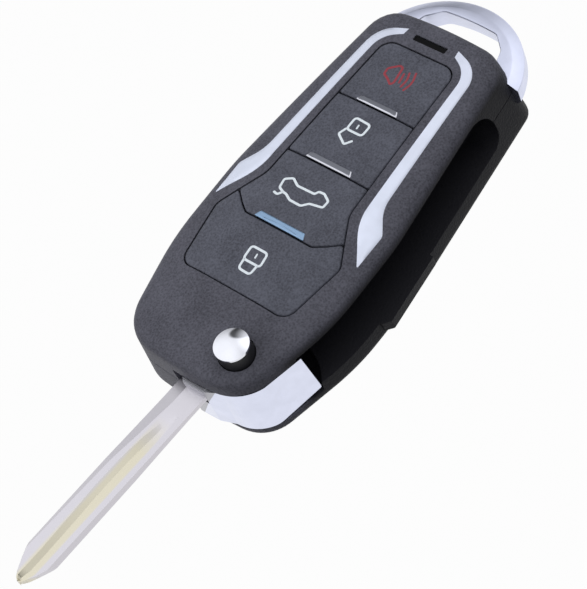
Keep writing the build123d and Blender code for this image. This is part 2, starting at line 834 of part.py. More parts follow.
# Indicator on the board under its window
with BuildPart() as indicator_led:
    with BuildSketch(Plane.XY.offset(board_top)):
        with Locations((0, bevel_rear_y + window_depth / 2)):
            Rectangle(1.6, 0.8)
    extrude(amount=led_height)
indicator_led.part.label = "indicator_led"
export_step(indicator_led.part, "parts/indicator_led.step")

# Flat packages on the underside of the board
chips = {
    "controller_chip": (0.5, -8.5, 7.0, 7.0, 1.0),
    "radio_chip": (-9.0, -9.5, 5.0, 5.0, 0.9),
    "crystal_can": (-9.0, -3.0, 5.0, 3.2, 0.8),
    "antenna_coil": (-6.0, 29.5, 8.0, 3.4, 2.6),
}
for name, (x, y, length, width, height) in chips.items():
    with BuildPart() as chip:
        with BuildSketch(Plane.XY.offset(board_z - height)):
            with Locations((x, y)):
                RectangleRounded(length, width, 0.3)
        extrude(amount=height)
    chip.part.label = name
    export_step(chip.part, f"parts/{name}.step")

# Immobiliser capsule on the floor at the loop end
with BuildPart() as transponder:
    with BuildSketch(Plane.XY.offset(floor_thickness)):
        with Locations((0, 34.5)):
            RectangleRounded(11.5, 5.5, 1.0)
    extrude(amount=2.8)
    chamfer(transponder.faces().sort_by(Axis.Z)[-1].edges(), length=0.5)
transponder.part.label = "transponder"
export_step(transponder.part, "parts/transponder.step")

# Coin cell in its ring, with a sheet spring under it and another over it
cell_low = floor_thickness + contact_sheet
with BuildPart() as coin_cell:
    with BuildSketch(Plane.XY.offset(cell_low)):
        with Locations((cell_x, cell_y)):
            Circle(cell_radius)
    extrude(amount=cell_height)
    chamfer(coin_cell.faces().sort_by(Axis.Z)[0].edges(), length=0.4)
coin_cell.part.label = "coin_cell"
export_step(coin_cell.part, "parts/coin_cell.step")

leg_y = cell_y + cell_radius + cell_gap + ring_wall + 0.7
with BuildPart() as battery_contact_negative:
    with BuildSketch(Plane.YZ.offset(cell_x - 2.0)):
        Polygon(
            (cell_y - 3, floor_thickness),
            (leg_y + contact_sheet, floor_thickness),
            (leg_y + contact_sheet, board_z),
            (leg_y, board_z),
            (leg_y, cell_low),
            (cell_y - 3, cell_low),
            align=None,
        )
    extrude(amount=4.0)
battery_contact_negative.part.label = "battery_contact_negative"
export_step(battery_contact_negative.part, "parts/battery_contact_negative.step")

cell_top = cell_low + cell_height
leg_x = cell_x + cell_radius + cell_gap + ring_wall + 0.3
with BuildPart() as battery_contact_positive:
    with BuildSketch(Plane.XZ.offset(-cell_y - 2.5)):
        Polygon(
            (cell_x - 6, cell_top),
            (leg_x + contact_sheet, cell_top),
            (leg_x + contact_sheet, board_z),
            (leg_x, board_z),
            (leg_x, cell_top + contact_sheet),
            (cell_x - 6, cell_top + contact_sheet),
            align=None,
        )
    extrude(amount=5.0)
battery_contact_positive.part.label = "battery_contact_positive"
export_step(battery_contact_positive.part, "parts/battery_contact_positive.step")
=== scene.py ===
"""Looks of a car remote key with a folding blade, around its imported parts.

The frame is that of the parts: +Z out of the face with the key caps, +Y towards the key ring loop, +X to the
side that the blade folds into. Shapes are worked out in millimetres and placed in metres. Each section below
makes one piece or a group of like pieces, in the order in which the key goes together.
"""

import bmesh
import bpy
import numpy as np
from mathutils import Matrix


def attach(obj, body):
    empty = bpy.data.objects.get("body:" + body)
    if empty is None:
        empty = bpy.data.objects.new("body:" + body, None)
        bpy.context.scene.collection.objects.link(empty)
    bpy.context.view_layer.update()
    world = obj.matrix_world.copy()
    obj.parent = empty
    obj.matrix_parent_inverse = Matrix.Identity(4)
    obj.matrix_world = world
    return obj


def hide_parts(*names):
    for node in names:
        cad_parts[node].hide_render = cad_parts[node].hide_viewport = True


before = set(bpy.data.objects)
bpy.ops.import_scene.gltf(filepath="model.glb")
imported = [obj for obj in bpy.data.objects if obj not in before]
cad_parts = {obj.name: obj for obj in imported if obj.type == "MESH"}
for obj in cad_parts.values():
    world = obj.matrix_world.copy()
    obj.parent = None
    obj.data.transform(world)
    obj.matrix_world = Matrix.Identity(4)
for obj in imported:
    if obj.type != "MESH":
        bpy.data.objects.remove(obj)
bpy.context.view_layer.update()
mm = 0.001

# Case, back and top: two injection mouldings of grained grey plastic, screwed together around the loop, with
# painted shade that darkens the blade's recess and the side below it. They make one drafted form, wider on
# its back than on its face, under a face that is crowned and bent a little from end to end. A fine groove
# marks the parting line.


class Value:
    """A number or a colour in a material's nodes: + - and * on a number add a Math node."""

    def __init__(self, finish, socket):
        self.finish = finish
        self.socket = socket

    def maths(self, operation, *values):
        """Result of a Math node on these values."""
        return self.finish.node("ShaderNodeMath", {"operation": operation}, *values)

    def __add__(self, other):
        return self.maths("ADD", self, other)

    def __sub__(self, other):
        return self.maths("SUBTRACT", self, other)

    def __rsub__(self, other):
        return self.maths("SUBTRACT", other, self)

    def __mul__(self, other):
        return self.maths("MULTIPLY", self, other)

    __radd__ = __add__
    __rmul__ = __mul__


class Finish:
    """A material built around one Principled shader, on the Object coordinates of the piece."""

    def __init__(self, name, **constants):
        self.material = bpy.data.materials.new(name)
        self.material.use_nodes = True
        self.tree = self.material.node_tree
        self.shader = self.tree.nodes["Principled BSDF"]
        for words, value in constants.items():
            self.shader.inputs[words.replace("_", " ")].default_value = value
        self.place = self.node("ShaderNodeTexCoord", {"output": "Object"})

    def node(self, kind, settings, *values, **named):
        """Adds a node: its settings first (output names the socket to read), then its inputs."""
        made = self.tree.nodes.new(kind)
        output = settings.pop("output", 0)
        for name, setting in settings.items():
            setattr(made, name, setting)
        for key, value in [*enumerate(values), *named.items()]:
            socket = made.inputs[key if isinstance(key, int) else key.replace("_", " ")]
            if isinstance(value, Value):
                self.tree.links.new(value.socket, socket)
            else:
                socket.default_value = value
        return Value(self, made.outputs[output])

    def noise(self, size, detail=2.0, roughness=0.5, stretch=(1, 1, 1)):
        """Noise from 0 to 1 with features of that size in millimetres, stretched along the axes."""
        settings = {"vector_type": "POINT"}
        place = self.node("ShaderNodeMapping", settings, Vector=self.place, Scale=[1 / s for s in stretch])
        return self.node(
            "ShaderNodeTexNoise", {}, Vector=place, Scale=1 / (size * mm), Detail=detail, Roughness=roughness
        )

    def cells(self, size):
        """Distance from 0 to about 1 to the nearest of random points that lie about size apart."""
        return self.node("ShaderNodeTexVoronoi", {"feature": "F1"}, Vector=self.place, Scale=1 / (size * mm))

    def clamp(self, value, low, high):
        """Value mapped from low..high to 0..1 and held there."""
        settings = {"clamp": True}
        return self.node("ShaderNodeMapRange", settings, Value=value, From_Min=low, From_Max=high)

    def axis(self, name):
        """One Object coordinate in metres: x, y or z."""
        return self.node("ShaderNodeSeparateXYZ", {"output": "xyz".index(name)}, self.place)

    def mix(self, factor, first, second):
        """Colour between first and second."""
        settings = {"data_type": "RGBA", "output": 2}
        made = self.node("ShaderNodeMix", settings)
        inputs = made.socket.node.inputs
        for socket, value in ((inputs[0], factor), (inputs[6], first), (inputs[7], second)):
            if isinstance(value, Value):
                self.tree.links.new(value.socket, socket)
            else:
                socket.default_value = value
        return made

    def feed(self, socket, value):
        """Links a value to one socket of the shader."""
        self.tree.links.new(value.socket, self.shader.inputs[socket])

    def relief(self, height, depth):
        """Bump of that depth in millimetres from a height of 0 to 1."""
        self.feed("Normal", self.node("ShaderNodeBump", {}, Strength=1.0, Distance=depth * mm, Height=height))


def rgb(red, green, blue):
    """Linear colour from the 0 to 255 values of a picture, by the screen's transfer curve."""
    shares = np.array([red, green, blue]) / 255
    linear = np.where(shares <= 0.04045, shares / 12.92, ((shares + 0.055) / 1.055) ** 2.4)
    return (*map(float, linear), 1.0)


def dress(finish, *names):
    """Gives CAD nodes this finish."""
    for name in names:
        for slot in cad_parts[name].material_slots:
            slot.material = finish.material


def moulded(name, dark, light, grain_depth, roughness, gloss=0.5):
    """Grained plastic: pebbles 0.4 mm apart with smooth tops, a fine mottle, and a slow drift in colour. Its
    colour is kept as finish.colour, for those that mix another one into it."""
    finish = Finish(name, Roughness=roughness, Specular_IOR_Level=gloss)
    pebbles = finish.clamp(finish.cells(0.4), 0.05, 0.75)
    mottle = finish.noise(0.45, detail=4, roughness=0.65)
    drift = finish.noise(6, detail=2)
    tone = drift * 0.3 + mottle * 0.5 + pebbles * 0.2
    finish.colour = finish.mix(finish.clamp(tone, 0.3, 0.7), dark, light)
    finish.feed("Base Color", finish.colour)
    finish.feed("Roughness", roughness + 0.12 * mottle - 0.06)
    finish.relief((1 - pebbles) * 0.5 + mottle * 0.5, grain_depth)
    return finish


def arcs(corners, steps=14):
    """Closed outline of (x, y, radius) corners, each an arc that touches both of its sides: its centre lies
    at radius / cos(half turn) from the corner, and it starts radius * tan(half turn) along the side."""
    points = np.array([corner[:2] for corner in corners], float)
    radius = np.array([corner[2] for corner in corners], float)[:, None]
    back = np.roll(points, 1, axis=0) - points
    ahead = np.roll(points, -1, axis=0) - points
    back /= np.linalg.norm(back, axis=1, keepdims=True)
    ahead /= np.linalg.norm(ahead, axis=1, keepdims=True)
    half_turn = np.arccos(np.clip(-(back * ahead).sum(axis=1), -1, 1))[:, None] / 2
    inwards = back + ahead
    inwards /= np.maximum(np.linalg.norm(inwards, axis=1, keepdims=True), 1e-9)
    beside = np.stack([-inwards[:, 1], inwards[:, 0]], axis=1)
    beside *= np.sign((beside * ahead).sum(axis=1, keepdims=True))
    centre = points + inwards * radius / np.cos(half_turn)
    turn = half_turn[:, None] * np.linspace(-1, 1, steps)[None, :, None]
    spokes = beside[:, None] * np.sin(turn) - inwards[:, None] * np.cos(turn)
    return (centre[:, None] + radius[:, None] * spokes).reshape(-1, 2)


def mirrored(corners):
    """Corners of the right half and of its mirror image, all the way round."""
    return [*corners, *((-x, y, radius) for x, y, radius in reversed(corners) if x > 0)]


def stepped(lines, count, closed=True):
    """Lines with as many points each, taken at even steps along the first one."""
    if closed:
        lines = [np.concatenate([line, line[:1]]) for line in lines]
    runs = np.linalg.norm(np.diff(lines[0], axis=0), axis=1)
    place = np.concatenate([[0], np.cumsum(runs)])
    wanted = np.linspace(0, place[-1], count, endpoint=not closed)
    return [np.column_stack([np.interp(wanted, place, line[:, k]) for k in (0, 1)]) for line in lines]


def inward(line):
    """Unit normals of a closed counter-clockwise line, to its inner side."""
    along = np.roll(line, -1, axis=0) - np.roll(line, 1, axis=0)
    along /= np.maximum(np.linalg.norm(along, axis=1, keepdims=True), 1e-9)
    return np.stack([-along[:, 1], along[:, 0]], axis=1)


def ring(line, level):
    """Points of a line at a level, or at one level for each point."""
    return np.column_stack([line, np.broadcast_to(level, len(line))])


def closed_form(rings):
    """Vertices and faces of the form through counter-clockwise rings from its underside to its top."""
    count = len(rings[0])
    here = np.arange(count)
    beside = (here + 1) % count
    starts = np.arange(len(rings) - 1)[:, None] * count
    quads = np.stack([starts + here, starts + beside, starts + count + beside, starts + count + here], axis=2)
    faces = [here[::-1].tolist(), *quads.reshape(-1, 4).tolist(), (starts[-1, 0] + count + here).tolist()]
    return np.concatenate(rings), faces


def prism(line, low, high):
    """Straight block over an outline."""
    return closed_form([ring(line, low), ring(line, high)])


def circle(x, y, radius, steps=64):
    """Round outline: centre + radius * (cos, sin)."""
    turn = np.linspace(0, 2 * np.pi, steps, endpoint=False)
    return np.column_stack([x + radius * np.cos(turn), y + radius * np.sin(turn)])


def block(name, *forms):
    """Mesh object, still in millimetres, of one or more closed forms."""
    offsets = np.cumsum([0] + [len(vertices) for vertices, _ in forms]).tolist()
    faces = []
    for (_, group), offset in zip(forms, offsets):
        faces += [[index + offset for index in face] for face in group]
    mesh = bpy.data.meshes.new(name)
    mesh.from_pydata(np.concatenate([vertices for vertices, _ in forms]), [], faces)
    shape = bmesh.new()
    shape.from_mesh(mesh)
    bmesh.ops.recalc_face_normals(shape, faces=shape.faces)
    shape.to_mesh(mesh)
    shape.free()
    made = bpy.data.objects.new(name, mesh)
    bpy.context.scene.collection.objects.link(made)
    return made


def applied(target):
    """Replaces an object's mesh by what its modifiers make of it."""
    made = bpy.data.meshes.new_from_object(target.evaluated_get(bpy.context.evaluated_depsgraph_get()))
    target.modifiers.clear()
    target.data = made


def cut(target, *forms):
    """Takes closed forms out of an object, one after another."""
    for form in forms:
        tool = block("tool", form)
        change = target.modifiers.new("cut", "BOOLEAN")
        change.operation = "DIFFERENCE"
        change.solver = "MANIFOLD"
        change.object = tool
        applied(target)
        bpy.data.objects.remove(tool)


def place(made, finish, body, slot, *nodes, sharp=30):
    """Brings a finished object to metres, with edges sharper than that many degrees kept, and lets it ride
    on a body in the place of CAD nodes."""
    mesh = made.data
    mesh.validate()
    points = np.empty(len(mesh.vertices) * 3)
    mesh.vertices.foreach_get("co", points)
    mesh.vertices.foreach_set("co", points * mm)
    mesh.shade_smooth()
    mesh.set_sharp_from_angle(angle=np.radians(sharp))
    mesh.materials.clear()
    mesh.materials.append(finish.material)
    mesh.update()
    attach(made, body)
    if nodes:
        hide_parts(*nodes)


case_height = 17.5
parting = 9.0
groove = 0.2
flat_half, crown_radius, crown_slope = 10.2, 40.0, np.radians(17)
bend_radius = 800.0
arc_start = flat_half - crown_radius * np.tan(crown_slope / 2)
arc_end = arc_start + crown_radius * np.sin(crown_slope)


def crown(points):
    """Level of the face at (x, y) points: flat in the middle, then an arc that drops radius - sqrt(radius^2 -
    a^2) at a past its start, then a straight slope, and everywhere y^2 / (2 * bend radius) lower."""
    out = np.abs(points[..., 0])
    across = np.clip(out, arc_start, arc_end) - arc_start
    drop = crown_radius - np.sqrt(crown_radius**2 - across**2)
    drop = drop + np.maximum(out - arc_end, 0) * np.tan(crown_slope)
    return case_height - drop - points[..., 1] ** 2 / (2 * bend_radius)


back_corners = [
    (0, -38.2, 90),
    (14.9, -37.3, 7.5),
    (20.04, -17.5, 45),
    (20.14, 0, 45),
    (15.7, 40.9, 3.0),
    (0, 41.5, 90),
]
face_corners = [
    (0, -38.2, 90),
    (13.31, -37.3, 9.5),
    (17.95, -17.5, 45),
    (18.05, 0, 45),
    (13.5, 39.8, 6.0),
    (0, 40.4, 90),
]
back_line, face_line = stepped([arcs(mirrored(back_corners)), arcs(mirrored(face_corners))], 280)


def wall_line(level):
    """Outline of the drafted wall at a level, or at one level for each point."""
    return back_line + (face_line - back_line) * np.reshape(level, (-1, 1)) / case_height


def bend(start, corner, end, steps=6):
    """Rings of a rounded edge: the parabola (1-t)^2 start + 2t(1-t) corner + t^2 end."""
    return [(1 - t) ** 2 * start + 2 * t * (1 - t) * corner + t**2 * end for t in np.linspace(0, 1, steps)]


# Top: the drafted wall, the rounded shoulder, and the crowned face.
inwards = inward(face_line)
shoulder = 1.9
edge_level = np.full(len(face_line), case_height)
settling_steps = 4
for _ in range(settling_steps):
    edge_level = crown(wall_line(edge_level))
wall_top = ring(wall_line(edge_level - shoulder), edge_level - shoulder)
edge = ring(wall_line(edge_level), edge_level)
inner = edge[:, :2] + inwards * shoulder
face_shares = (0.96, 0.9, 0.83, 0.76, 0.68, 0.6, 0.5, 0.4, 0.3, 0.2, 0.1, 0.03)
face_rings = [ring(inner * share, crown(inner * share)) for share in face_shares]
below, above = parting - groove / 2, parting + groove / 2
top_levels, back_levels = (above, 11.0, 12.6), (4.0, 6.5, below)
top_rings = [ring(wall_line(level), level) for level in top_levels]
top_rings += bend(wall_top, edge, ring(inner, crown(inner))) + face_rings
case_top = block("case_top", closed_form(top_rings))

# Back: the rounded foot, the wall, and the lip at the bottom of the parting groove.
foot = 1.6
lip = 0.25
foot_edge = bend(ring(back_line + inwards * foot, 0), ring(back_line, 0), ring(wall_line(foot), foot))
back_rings = [ring(wall_line(level), level) for level in back_levels]
back_rings += [ring(wall_line(below) + inwards * lip, below), ring(wall_line(above) + inwards * lip, above)]
case_back = block("case_back", closed_form(foot_edge + back_rings))

# Space for the hub, open to the front and to the right.
beyond = 30.0
pivot_x, pivot_y = 8.8, -30.9
floor_level = 2.0
hub_space_radius, hub_space_top = 11.2, 12.7
slot_left = -1.8
turn = np.linspace(0, np.pi + np.arccos((pivot_x - slot_left) / hub_space_radius), 60)
hub_arc = (pivot_x, pivot_y) + hub_space_radius * np.column_stack([np.cos(turn), np.sin(turn)])
hub_corners = [(slot_left, -2 * beyond), (beyond, -2 * beyond), (beyond, pivot_y)]
hub_space = prism(np.concatenate([hub_arc, hub_corners]), floor_level, hub_space_top)

# Recess for the folded blade, along the right side.
fold_lean = np.radians(91.5)
recess_inner = 10.65
recess_side = arcs([(5, 3.9, 0.05), (61.9, 3.9, 3.0), (61.9, 13.5, 5.5), (5, 13.1, 0.05)])
recess_ahead = np.array([np.cos(fold_lean), np.sin(fold_lean)])
recess_out = np.array([np.sin(fold_lean), -np.cos(fold_lean)])


def recess_ring(out):
    """The recess's side outline, that far out from its inner wall."""
    spot = np.array([recess_inner, pivot_y]) + recess_side[:, :1] * recess_ahead + recess_out * out
    return np.column_stack([spot, recess_side[:, 1]])


recess = closed_form([recess_ring(beyond), recess_ring(0.0)])

# Openings of the face: the key pad over its ledge, the button's hole over the hub's bearing, and the window.
pad_corners = [(12.1, -21.6, 2.6), (14.15, -9.1, 2.2), (9.37, 0, 6.0), (7.9, 33.2, 2.6)]
pad_line = arcs(mirrored(pad_corners))
pad_gap = 0.25
ledge = 1.1
pad_floor, ledge_top = 12.6, 15.1
hollow_low, hollow_high = 5.0, 12.0
overlap = 0.1
hollow_line = arcs(
    [
        (8.9, -18.5, 0.5),
        (7.6, 37.6, 1.0),
        (-12.0, 37.6, 4.0),
        (-16.4, 4.0, 30.0),
        (-16.2, -17.5, 12.0),
        (-12.8, -35.0, 5.0),
        (-3.6, -35.0, 1.0),
        (-3.6, -18.5, 12.35),
    ]
)
button_gap = 3.36
bearing, bearing_top = 4.66, 15.35
window_floor = 15.0
window_line = arcs([(3.6, 35.25, 0.2), (3.6, 36.55, 0.2), (-3.6, 36.55, 0.2), (-3.6, 35.25, 0.2)], 4)
ledge_line = pad_line - inward(pad_line) * ledge
opening_line = pad_line - inward(pad_line) * pad_gap
opening = [ring(ledge_line, level) for level in (pad_floor, ledge_top)]
opening += [ring(opening_line, level) for level in (ledge_top, beyond)]
cut(
    case_top,
    closed_form(opening),
    prism(hollow_line, hollow_low, pad_floor + overlap),
    hub_space,
    recess,
    prism(circle(pivot_x, pivot_y, bearing), hub_space_top - overlap, bearing_top),
    prism(circle(pivot_x, pivot_y, button_gap), bearing_top - overlap, beyond),
    prism(window_line, window_floor, beyond),
)

# Back again: screw wells, the boss that the hub turns on, and the catch that stands out of the right wall.
screw_places = [(11.2, 35.2), (-11.2, 35.2), (-11.0, -28.5)]
screw_well, screw_low, screw_high = 1.75, -1.0, 1.4
cut(case_back, prism(hollow_line, floor_level, hollow_high), hub_space, recess)
cut(case_back, *(prism(circle(x, y, screw_well, 32), screw_low, screw_high) for x, y in screw_places))
boss_radius, boss_low, boss_high = 3.0, 1.5, 5.0
catch_low, catch_high = 1.6, 3.9
catch_corners = [(18.0, -9.8, 0.1), (20.0, -9.8, 0.1), (21.2, -8.5, 0.3), (19.8, 5.5, 0.3), (18.0, 5.5, 0.1)]
catch_line = arcs(catch_corners, 5)
boss = prism(circle(pivot_x, pivot_y, boss_radius), boss_low, boss_high)
details = block("details", boss, prism(catch_line, catch_low, catch_high))
union = case_back.modifiers.new("join", "BOOLEAN")
union.operation = "UNION"
union.solver = "MANIFOLD"
union.object = details
applied(case_back)
bpy.data.objects.remove(details)

case_plastic = moulded("case_plastic", rgb(60, 60, 67), rgb(96, 96, 106), 0.08, 0.5, gloss=0.1)


def between(name, low, high, edge):
    """One inside low..high on an axis, in mm, that falls to zero over a soft edge of that width."""
    spot = case_plastic.axis(name)
    rise = case_plastic.clamp(spot, (low - edge) * mm, low * mm)
    return rise * (1 - case_plastic.clamp(spot, high * mm, (high + edge) * mm))


# Painted shade: the blade's recess and the side below it are coloured darker, standing in for the shade
# there.
painted_recess_shade = between("x", 10.6, beyond, 1.5) * between("y", -26.5, 2 * beyond, 3.0) * between("z", -1.0, 13.4, 1.3)
case_plastic.feed("Base Color", case_plastic.mix(painted_recess_shade, case_plastic.colour, rgb(34, 34, 38)))
place(case_top, case_plastic, "case", "case", "top_shell")
place(case_back, case_plastic, "case", "case", "bottom_shell")

# Key caps: the same plastic in moulds of their own, with rounded top edges. They follow the crown of the
# face, and each slides in the opening on the rubber sheet below, held by a flange and pushing a dome.
cap_edge = 0.28
flange_low, flange_high = 14.4, 14.9
flange_spread = (1.06, 1.0)
plunger_low, plunger_radius = 13.92, 1.6
plunger_root = 0.2


def capped(line, centre, low, rise=0.0, radius=cap_edge):
    """Form with a crowned top and a rounded top edge: at angle a of the edge a point is radius * (1 - cos a)
    inside the outline and radius * (1 - sin a) under the face; inside, the outline shrinks to the centre."""
    line = stepped([line], 150)[0]
    sides = inward(line)
    rings = [ring(line, low)]
    for angle in np.linspace(0, np.pi / 2, 5):
        spot = line + sides * radius * (1 - np.cos(angle))
        rings.append(ring(spot, crown(spot) + rise - radius * (1 - np.sin(angle))))
    for share in (0.93, 0.84, 0.72, 0.58, 0.42, 0.25, 0.06):
        inside = centre + (spot - centre) * share
        rings.append(ring(inside, crown(inside) + rise))
    return closed_form(rings)


cap_plastic = moulded("cap_plastic", rgb(59, 60, 68), rgb(95, 97, 108), 0.07, 0.48, gloss=0.16)
cap_shapes = {
    "panic": ([(8.49, 19.95, 0.3), (7.9, 33.2, 2.6)], (0, 27.0), 27.0),
    "unlock": ([(9.11, 5.95, 0.3), (8.5, 19.65, 0.3)], (0, 13.0), 13.0),
    "trunk": (
        [(7.6, -8.15, 1.2), (9.6, -6.85, 1.2), (11.96, -4.92, 0.3), (9.37, 0, 6.0), (9.12, 5.65, 0.3)],
        (0, 0),
        -1.0,
    ),
    "lock": (
        [(12.1, -21.6, 2.6), (14.15, -9.1, 2.2), (12.07, -5.13, 0.3), (9.6, -7.15, 1.2), (7.6, -8.45, 1.2)],
        (0, -19.0),
        -13.5,
    ),
}
for key, (corners, centre, plunger_y) in cap_shapes.items():
    cap_line = arcs(mirrored(corners), 8)
    cap = block(
        f"cap_{key}",
        capped(cap_line, np.array(centre), flange_low),
        prism(cap_line * flange_spread, flange_low, flange_high),
        prism(circle(0, plunger_y, plunger_radius, 32), plunger_low, flange_low + plunger_root),
    )
    place(cap, cap_plastic, f"key_{key}", "cap", f"keycap_{key}")

# Printed signs: white strokes, and red ones for the alarm, pad printed on the caps in a layer thick enough
# to feel. Each is one mesh that rides on its cap.
stroke_width = 0.45
stroke_step = 0.14
print_rise = 0.025
print_sink = 0.08


def stroke(points, closed=False, radius=0.5, width=stroke_width):
    """Printed line: a low flat-topped profile carried along the path at the crown's level, with half-round
    ends: there the half width is r * cos(a) at r * sin(a) past the end."""
    points = np.array(points, float)
    before = np.roll(points, 1, axis=0) - points
    after = np.roll(points, -1, axis=0) - points
    lengths = [np.linalg.norm(side, axis=1, keepdims=True) for side in (before, after)]
    start = points + before / lengths[0] * np.minimum(radius, 0.45 * lengths[0])
    end = points + after / lengths[1] * np.minimum(radius, 0.45 * lengths[1])
    t = np.linspace(0, 1, 9)[None, :, None]
    curve = (1 - t) ** 2 * start[:, None] + 2 * t * (1 - t) * points[:, None] + t**2 * end[:, None]
    path = curve.reshape(-1, 2)
    if not closed:
        path = np.concatenate([points[:1], curve[1:-1].reshape(-1, 2), points[-1:]])
    length = np.linalg.norm(np.diff(path, axis=0), axis=1).sum()
    path = stepped([path], max(int(length / stroke_step), 4), closed)[0]
    along = np.gradient(path, axis=0)
    if closed:
        along = np.roll(path, -1, axis=0) - np.roll(path, 1, axis=0)
    along /= np.linalg.norm(along, axis=1, keepdims=True)
    half = np.full(len(path), width / 2)
    if not closed:
        turn = np.linspace(0, np.pi / 2, 6)[1:-1]
        past = np.sin(turn)[:, None] * width / 2
        path = np.concatenate([(path[0] - along[0] * past)[::-1], path, path[-1] + along[-1] * past])
        along = np.concatenate([np.tile(along[:1], (4, 1)), along, np.tile(along[-1:], (4, 1))])
        narrow = np.cos(turn) * width / 2
        half = np.concatenate([narrow[::-1], half, narrow])
    across = np.stack([-along[:, 1], along[:, 0]], axis=1)
    profile = [(-1, -print_sink), (-1, 0.6 * print_rise), (-0.85, print_rise)]
    profile += [(-side, height) for side, height in reversed(profile)]
    rails = []
    for side, height in profile:
        spot = path + across * (half * side)[:, None]
        rails.append(ring(spot, crown(spot) + height))
    vertices = np.stack(rails, axis=1).reshape(-1, 3)
    corner = np.arange(len(profile))
    starts = np.arange(len(path) if closed else len(path) - 1)[:, None] * len(profile)
    beside = (corner + 1) % len(profile)
    total = len(vertices)
    quads = np.stack(
        [
            starts + corner,
            (starts + len(profile) + corner) % total,
            (starts + len(profile) + beside) % total,
            starts + beside,
        ],
        axis=2,
    )
    faces = quads.reshape(-1, 4).tolist()
    if not closed:
        faces.append(corner.tolist())
        faces.append((total - len(profile) + corner[::-1]).tolist())
    return vertices, faces


def printed(name, colour):
    """Ink: even colour with a faint unevenness from the pad."""
    finish = Finish(name, Roughness=0.45)
    patch = finish.clamp(finish.noise(0.3, detail=3), 0.3, 0.7)
    darker = tuple(channel * 0.86 for channel in colour[:3]) + (1.0,)
    finish.feed("Base Color", finish.mix(patch, darker, colour))
    finish.relief(patch, 0.004)
    return finish


white_ink = printed("white_ink", rgb(232, 240, 246))
red_ink = printed("red_ink", rgb(150, 44, 58))

signs = {
    "lock": [
        stroke([(-1.9, -13.2), (1.7, -13.2), (2.1, -16.0), (-1.7, -16.0)], closed=True, radius=0.7),
        stroke([(-1.5, -16.0), (-1.3, -17.9), (1.4, -18.0), (1.5, -16.0)], radius=0.7),
        stroke([(0.05, -14.2), (0.15, -14.9)], width=0.32),
    ],
    "unlock": [
        stroke([(-2.0, 16.7), (1.5, 16.5), (1.45, 13.95), (-2.0, 13.95)], closed=True, radius=0.7),
        stroke([(-2.1, 13.95), (-2.66, 12.5), (-0.38, 11.1), (0.52, 12.25)], radius=0.3),
        stroke([(-0.45, 15.54), (-0.38, 14.86)], width=0.32),
    ],
    "trunk": [
        stroke(
            [
                (-3.97, -1.95),
                (-5.1, -1.5),
                (-5.39, 0.3),
                (-3.96, 1.17),
                (-2.35, 0.26),
                (1.48, 0.35),
                (1.9, 1.1),
                (3.08, 1.2),
                (4.65, 0.31),
                (4.57, -1.16),
                (1.93, -1.65),
                (0.72, -2.76),
                (-1.79, -2.72),
                (-3.09, -2.06),
            ],
            closed=True,
            radius=0.3,
        ),
        stroke([(-5.37, -2.69), (-4.58, -2.85), (-4.0, -2.1)], radius=0.3),
    ],
    "panic": [
        stroke(
            [
                (-3.4, 26.7),
                (-3.55, 28.0),
                (-1.85, 29.48),
                (-1.1, 29.3),
                (-0.6, 25.9),
                (-1.0, 25.3),
                (-2.25, 26.2),
            ],
            closed=True,
            radius=0.3,
        ),
        stroke([(-0.1, 28.3), (0.25, 26.4)], radius=0.3, width=0.4),
        stroke([(0.7, 28.9), (1.25, 27.5), (1.1, 25.8)], radius=0.8, width=0.4),
        stroke([(1.8, 29.4), (2.5, 27.4), (2.0, 25.4)], radius=1.0, width=0.4),
    ],
}
for key, strokes in signs.items():
    ink = red_ink if key == "panic" else white_ink
    place(block(f"sign_{key}", *strokes), ink, f"key_{key}", "cap")


def plated(name, colour, roughness, brushed=(1, 1, 1), grain=0.04, depth=0.0008):
    """Plating: a metal with a faint cloud in its colour and a fine, stretched surface line."""
    finish = Finish(name, Metallic=1.0, Roughness=roughness)
    cloud = finish.noise(3, detail=2)
    line = finish.noise(grain, detail=3, stretch=brushed)
    deeper = tuple(channel * 0.93 for channel in colour[:3]) + (1.0,)
    finish.feed("Base Color", finish.mix(finish.clamp(cloud, 0.3, 0.7), deeper, colour))
    finish.feed("Roughness", roughness * (0.85 + 0.3 * line))
    finish.relief(line, depth)
    return finish


# Stripes beside the key pad: thin plastic mouldings with satin plating, let into the face. Each is a band
# between two lines from the window down to a point beside the lock cap.
stripe_plating = plated("stripe_plating", rgb(226, 231, 246), 0.5)
stripe_plating.shader.inputs["Metallic"].default_value = 0.7
outer_corners = [(5.6, 37.0, 0.05), (11.3, 35.1, 5.5), (13.59, 4.1, 7.5)]
outer_corners += [(16.5, -0.1, 1.5), (16.35, -7.0, 0.05)]
inner_corners = [(5.8, 35.5, 0.05), (9.5, 33.45, 4.8), (11.32, -0.1, 11.0), (16.15, -7.1, 0.05)]
stripe_sink, stripe_edge, stripe_rise = 0.5, 0.05, 0.06


def open_arcs(corners):
    """The arcs of the inner corners, between the two end points."""
    ends = [corners[0][:2], corners[-1][:2]]
    middle = arcs(corners).reshape(len(corners), -1, 2)[1:-1].reshape(-1, 2)
    return np.concatenate([ends[:1], middle, ends[1:]])


def band(outer, inner, side):
    """Thin moulding between two lines: a point at share v across is (1-v) outer + v inner, on the crown,
    lowered at both edges."""
    outer, inner = stepped([outer], 90, closed=False)[0], stepped([inner], 90, closed=False)[0]
    profile = [(0, -stripe_sink), (0, -stripe_edge)]
    profile += [(share, stripe_rise) for share in (0.04, 0.35, 0.65, 0.96)]
    profile += [(1, -stripe_edge), (1, -stripe_sink)]
    rails = []
    for share, height in profile:
        spot = (outer * (1 - share) + inner * share) * (side, 1)
        rails.append(ring(spot, crown(spot) + height))
    rings = list(np.stack(rails, axis=1))
    return closed_form(rings if side > 0 else rings[::-1])


for side, name in ((1, "trim_right"), (-1, "trim_left")):
    stripe = block(f"stripe_{name[5:]}", band(open_arcs(outer_corners), open_arcs(inner_corners), side))
    place(stripe, stripe_plating, "case", "trim", name, sharp=50)
